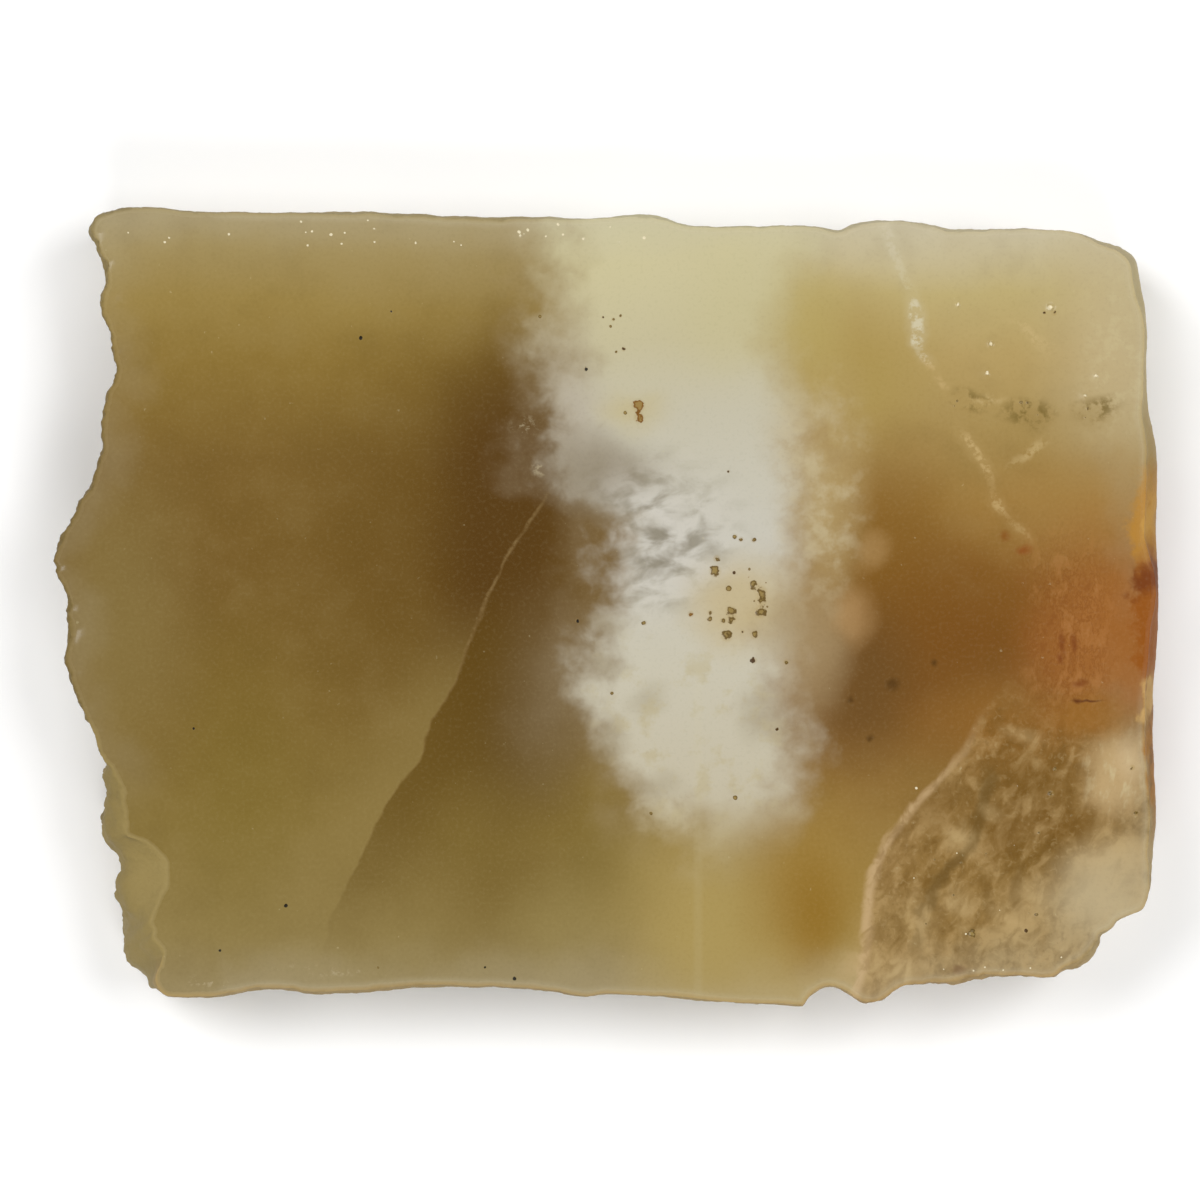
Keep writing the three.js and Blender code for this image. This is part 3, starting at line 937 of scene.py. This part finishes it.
def lay_rust(jade):
    """The iron-stained patch at the right, its wisps, and the stained skin at the edge."""
    jade.patch(jade.ragged, (62, -7), (5, 7), (156, 100, 48), 0.8, 0.5)
    upright = jade.stretch(jade.place, (1.0, 2.0, 1.5), -6)
    streaked = jade.noise(upright, 1.8, 4.0, 0.66, 0.25)
    where = jade.oval(jade.loose, (63, -4), (7, 12), 0.6)
    jade.lay(where * jade.rise(0.52, 0.7, streaked, 0.4), (124, 68, 16))
    wisps = jade.rise(0.035, 0.005, jade.size_of(streaked - 0.5))
    jade.lay(where * wisps, (124, 68, 16), 0.35)
    jade.lay(where * jade.rise(0.48, 0.34, streaked, 0.3), (186, 132, 80))
    jade.dabs(jade.ragged, (118, 60, 6), 0.9, 0.65, [
        ((62, -5.4), (0.5, 1.6)), ((63.8, -5), (0.4, 1.3)), ((61.2, -7.6), (0.4, 0.6)),
        ((63.9, -10.6), (1.2, 0.4)),
    ])
    jade.patches(jade.ragged, [
        ((65.4, -14.4), (5, 2), (150, 102, 42), 0.8, 0.7),
        ((71.5, -5), (3, 7), (154, 96, 40), 0.8, 0.75),
    ])
    jade.patches(jade.fine, [
        ((65.2, -12.8), (1.6, 0.17), (88, 46, 4), 0.8, 0.8),
        ((63.7, -12.75), (0.5, 0.32), (96, 52, 6), 0.9, 0.8),
    ])

    stain = jade.soil
    broad = jade.noise(jade.place, 10, 3.0, 0.6) - 0.5
    place = jade.outer_x + (stain - 0.5) * 7 + (jade.crumbs - 0.5) * 2.6 + jade.side
    height = jade.y + broad * (jade.deep * 2 + 4) + (stain - 0.5) * 6
    skin = jade.rise(71, 73.5, place) * jade.rise(-34, -25, height) * jade.rise(20, 12, height)
    skin = skin * jade.rise(0.4, 3, jade.deep)
    jade.lay(skin, (150, 104, 50), 0.85)
    jade.mottle(stain, skin, (0.48, 0.66, 0.5, (188, 150, 96)), (0.5, 0.34, 0.65, (100, 58, 22)))
    # Stains at the front, each a reach up the edge, how far in it starts, its colour and strength.
    stains = [
        ((3, 9), (14, 20), 70.3, (184, 132, 52), 0.8),
        ((8, 12), (13, 17), 73.0, (206, 162, 78), 0.45),
        ((-28, -24), (-18.5, -15.5), 73.0, (164, 112, 44), 0.8),
        ((-16, -14), (-11.5, -9.5), 71.8, (200, 162, 98), 0.8),
        ((-12, -7), (4, 9), 71.0, (148, 84, 18), 0.9),
        ((1, 3), (4.5, 6.5), 70.3, (114, 58, 4), 0.8),
    ]
    front = jade.rise(9, 3, jade.deep + broad * 14 + (stain - 0.5) * 8)
    for (low, low_full), (high_full, high), start, colour, strength in stains:
        cover = jade.rise(start, start + 2.0, place) * front
        cover = cover * jade.rise(low, low_full, height) * jade.rise(high, high_full, height)
        jade.lay(cover, colour, strength)


def lay_crust(jade):
    """The crusty corner: a pale rim, cream lumps, brown hollows and two dark channels."""
    height = jade.y + (jade.noise(jade.place, 5, 3.0) - 0.5) * 2.0
    off = jade.x - jade.course(CRUST_RIM, height)
    within = jade.rise(-0.3, 0.9, off) * jade.rise(-9, -20, jade.y + jade.curl * 10)
    slanted = jade.stretch(jade.place, (1.0, 1.6, 1.4), -28)
    broad = jade.noise(slanted, 3.8, 4.0, 0.6, 0.4)
    lumps = jade.noise(slanted, 2.0, 3.0, 0.5, 0.5)
    jade.lay(within, (143, 111, 62), 0.85)
    away = (jade.x - 56) * 0.6 - (jade.y + 30) * 0.8
    jade.lay(within * jade.rise(2, 15, away + jade.curl * 14, 0.75), (176, 153, 108))
    jade.lay(within * jade.rise(7, 1, off) * jade.rise(-18, -26, jade.y, 0.4), (150, 120, 76))
    jade.patches(jade.ragged, [
        ((38, -44), (3.5, 5), (170, 142, 92), 0.9, 0.6),
        ((54, -17), (9, 5), (142, 99, 44), 0.8, 0.8),
        ((58.5, -28), (8, 7), (118, 85, 36), 0.7, 0.9),
        ((60, -35.5), (7, 4), (128, 98, 48), 0.7, 0.65),
    ])
    jade.mottle(broad, within, (0.46, 0.8, 0.45, (174, 144, 94)), (0.54, 0.24, 0.5, (113, 82, 34)))
    jade.mottle(lumps, within, (0.46, 0.72, 0.55, (180, 150, 100)), (0.54, 0.28, 0.5, (108, 78, 32)))
    hairs = jade.noise(jade.place, 0.9, 2.0, 0.65, 0.5)
    jade.mottle(hairs, within, (0.54, 0.7, 0.25, (186, 160, 112)), (0.46, 0.3, 0.25, (104, 75, 32)))
    channel = jade.size_of(jade.x + jade.curl * 4 - jade.course(CRUST_CHANNEL, height))
    length = jade.rise(-49, -45, jade.y) * jade.rise(-20, -24, jade.y)
    jade.lay(jade.rise(1.7, 0.3, channel) * length, (110, 84, 42), 0.8)
    jade.patch(jade.ragged, (56.3, -39), (0.9, 4.2), (116, 88, 44), 0.6, 0.8, 4)
    jade.dabs(jade.ragged, (122, 90, 42), 0.9, 0.45, [
        ((44, -28.6), (3, 2.4)), ((54, -30), (3, 2.6)), ((58, -22.6), (4, 2.6)),
        ((65, -28.5), (3, 2)),
    ])
    cream = [
        ((47.3, -32.1), (1.9, 1.5)), ((47.9, -40.2), (2.3, 1.8)), ((58.9, -39.9), (2.3, 2.8)),
        ((51.8, -27.8), (1.3, 1.0)), ((56.5, -17.6), (2.4, 1.0)),
        ((42.5, -43), (2, 3)), ((35.5, -49.5), (4, 3)), ((41, -50), (2.5, 1.5)),
        ((55, -44), (3, 2.4)), ((69, -34), (4, 4)),
    ]
    lump = sum(jade.oval(jade.ragged, centre, radii, 0.9) for centre, radii in cream)
    jade.lay(lump * (0.35 + 0.4 * jade.rise(0.4, 0.6, lumps)), (187, 160, 111))
    streaks = jade.noise(jade.stretch(jade.place, (1.0, 2.4, 1.5), -10), 1.5, 3.0, 0.6)
    shown = jade.oval(jade.ragged, (69.4, -21.6), (3.6, 5.2), 0.6)
    jade.lay(shown, (190, 162, 116), 0.9)
    jade.lay(shown * jade.rise(0.5, 0.7, streaks, 0.6), (206, 190, 148))
    jade.patch(jade.ragged, (68, -40), (6, 6), (192, 175, 138), 0.9, 0.7)
    jade.patch(jade.loose, (71.4, -19.4), (1.6, 2.4), (206, 180, 138), 0.9, 0.6)
    jade.patch(jade.fine, (47.8, -49.2), (0.9, 0.6), (108, 70, 36), 0.8, 0.7)
    rim_off = jade.size_of(off - 0.5 + (lumps - 0.5) * 2)
    rim_line = jade.rise(1.2, 0.1, rim_off) * jade.rise(-12, -22, jade.y)
    bright = 0.3 + 0.4 * jade.rise(-20, -27, jade.y) * jade.rise(0.4, 0.56, lumps)
    jade.lay(rim_line * bright, (202, 172, 128))


def lay_edges(jade):
    """The painted glow of light coming in at the edges, paler near the rims, and the frosted sides."""
    sawn = jade.rise(-56, -50, jade.x)
    near = jade.rise(7, 0, jade.rim + jade.billow * 12) * (1 - jade.side)
    # Painted glow: the face is paler near its rims, with a pale line along the sawn rims.
    jade.lay(near * jade.rise(-34, -14, jade.y + sawn * 40, 0.14), (186, 176, 148))
    jade.lay(jade.rise(1.4, 0.2, jade.rim) * (1 - jade.side) * sawn, (200, 190, 160), 0.25)
    jade.lay(jade.rise(0.45, 0.05, jade.rim) * jade.rise(-62, -66, jade.x, 0.3), (92, 72, 34))
    jade.lay(jade.side, (166, 148, 92), 0.2)
    frost = jade.rise(0.36, 0.62, jade.crumbs) * jade.rise(1, 6, jade.deep)
    jade.lay(frost * jade.side, (204, 193, 160), 0.22)
    blotch = jade.noise(jade.place, 6.5, 3.0, 0.6)
    inner = jade.side * jade.rise(2, 7, jade.deep)
    jade.mottle(blotch, inner, (0.5, 0.34, 0.4, (112, 92, 44)), (0.52, 0.68, 0.35, (190, 176, 132)))
    chip_rim = jade.rise(0.5, 0.05, jade.rim) * jade.rise(-50, -56, jade.x)
    jade.lay(chip_rim * jade.rise(-28, -34, jade.y, 0.25), (170, 150, 96))
    chipped = jade.side * jade.rise(9, 6, jade.deep) * jade.rise(-50, -56, jade.x)
    jade.lay(chipped * jade.rise(-12, -20, jade.y, 0.75), (156, 136, 82))
    lower = jade.side * jade.rise(2.2, 0.8, jade.deep) * jade.rise(-47, -50, jade.y)
    jade.lay(lower, (182, 150, 98), 0.4)


def lay_specks(jade):
    """Pale grains in the stone, and the pits with their stains; the pale stain also lays painted glints.
    """
    jade.lay(jade.rise(0.5, 0.7, jade.grain, 0.04), (190, 176, 130))
    jade.lay(jade.rise(0.5, 0.3, jade.grain, 0.05), (70, 52, 18))
    dust = jade.noise(jade.place, 0.9, 2.0, 0.5)
    jade.lay(jade.rise(0.72, 0.8, dust, 0.25), (206, 194, 150))
    mark = jade.stored("pit")
    stain = jade.stored("stain")
    ragged_mark = mark + (jade.noise(jade.place, 1.0, 2.0, 0.55) - 0.5) * 2.1
    halo = jade.rise(0.02, 0.6, mark) * jade.rise(0.9, 0.6, stain)
    jade.lay(halo, (170, 144, 84), 0.35)
    # The pale stain lays pale specks, and painted glints on the pits along the edges and on the ochre
    # side.
    tones = [(GREEN, tint(104, 82, 40)), (RUST, tint(122, 80, 0)), (BROWN, tint(74, 50, 8)),
             (DARK, tint(26, 16, 0)), (PALE_SPECK_AND_GLINT, tint(232, 220, 184))]
    colour = jade.node("ShaderNodeValToRGB", {"stops": tones}, {"Fac": stain})
    jade.lay(jade.rise(0.34, 0.56, ragged_mark) * jade.rise(0.05, 0.2, mark, 0.95), colour)
    bare = jade.rise(0.66, 0.9, ragged_mark) * jade.rise(0.5, 0.4, stain) * jade.rise(0.3, 0.5, mark)
    jade.lay(bare, (172, 148, 90), 0.6)


def jade_finish():
    """The whole finish: its colour, its gloss and its fine grain."""
    jade = Jade()
    for lay_zone in (lay_body, lay_cloud, lay_fracture, lay_crust, lay_vein, lay_edges, lay_rust,
                     lay_specks):
        lay_zone(jade)
    roughness = 0.22 + 0.06 * jade.grain + jade.side * 0.45
    height = jade.grain * (0.02 + jade.side * 0.35)
    bump = jade.node("ShaderNodeBump", {}, {"Height": height, "Distance": 0.25 * MM})
    return jade.surface({
        "Base Color": jade.colour, "Roughness": roughness, "Normal": bump, "IOR": 1.5,
        "Specular IOR Level": 0.3})


# ---- Floor, light and camera. ----

FLOOR_WIDTH = 1.6
FLOOR_GAP = 0.05 * MM

# Softboxes: place, width and power.
SOFTBOXES = {
    "softbox left": ((-0.8, 0.5, 1.25), 0.9, 15.1),
    "softbox right": ((0.85, 0.2, 1.2), 0.9, 12.2),
    "softbox front": ((0.1, -0.95, 1.1), 0.8, 8.7),
}

# The room is white to look at, but gives the stone only this share of its light.
ROOM_LIGHT = 0.12

# The camera's lens and film, and the width, level and middle of what it sees.
CAMERA_LENS = 300
FILM_WIDTH = 36
VIEW_WIDTH = 162.8 * MM
VIEW_LEVEL = THICKNESS * 0.9 * MM
VIEW_CENTRE = (-0.9 * MM, 0.9 * MM)


def placed(name, data, place=(0, 0, 0)):
    """A new object in the scene."""
    made = bpy.data.objects.new(name, data)
    made.location = place
    bpy.context.scene.collection.objects.link(made)
    return made


def add_floor():
    mesh = bpy.data.meshes.new("floor")
    half = FLOOR_WIDTH / 2
    corners = [(-half, -half, 0), (half, -half, 0), (half, half, 0), (-half, half, 0)]
    mesh.from_pydata(corners, [], [(0, 1, 2, 3)])
    mesh.materials.append(Finish("pale floor").surface({
        "Base Color": (0.96, 0.96, 0.96, 1.0), "Roughness": 0.9}))
    floor = placed("floor", mesh, (0, 0, -FLOOR_GAP))


def add_lights():
    """Square softboxes that face the stone, in a white room."""
    for name, (place, width, power) in SOFTBOXES.items():
        light = bpy.data.lights.new(name, "AREA")
        light.size = width
        light.energy = power
        lamp = placed(name, light, place)
        lamp.rotation_euler = Vector(place).to_track_quat("Z", "Y").to_euler()
    world = bpy.data.worlds.new("studio")
    bpy.context.scene.world = world
    world.use_nodes = True
    room = Tree(world.node_tree)
    seen = room.node("ShaderNodeLightPath", {}, {}, "Is Camera Ray")
    strength = room.node("ShaderNodeMapRange", {}, {"Value": seen, "To Min": ROOM_LIGHT})
    background = world.node_tree.nodes["Background"].inputs
    background["Color"].default_value = (1, 1, 1, 1)
    room.tree.links.new(strength.socket, background["Strength"])
    bpy.context.scene.view_settings.view_transform = "Standard"


def add_camera():
    """A camera straight above the face, as wide as the slab with a narrow margin."""
    lens = bpy.data.cameras.new("camera")
    lens.lens = CAMERA_LENS
    lens.sensor_width = FILM_WIDTH
    away = VIEW_WIDTH * CAMERA_LENS / FILM_WIDTH
    bpy.context.scene.camera = placed("camera", lens, (*VIEW_CENTRE, VIEW_LEVEL + away))


def main():
    stone = jade_stone(jade_finish())
    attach(stone, "root")
    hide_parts(SLAB)
    add_floor()
    add_lights()
    add_camera()


main()
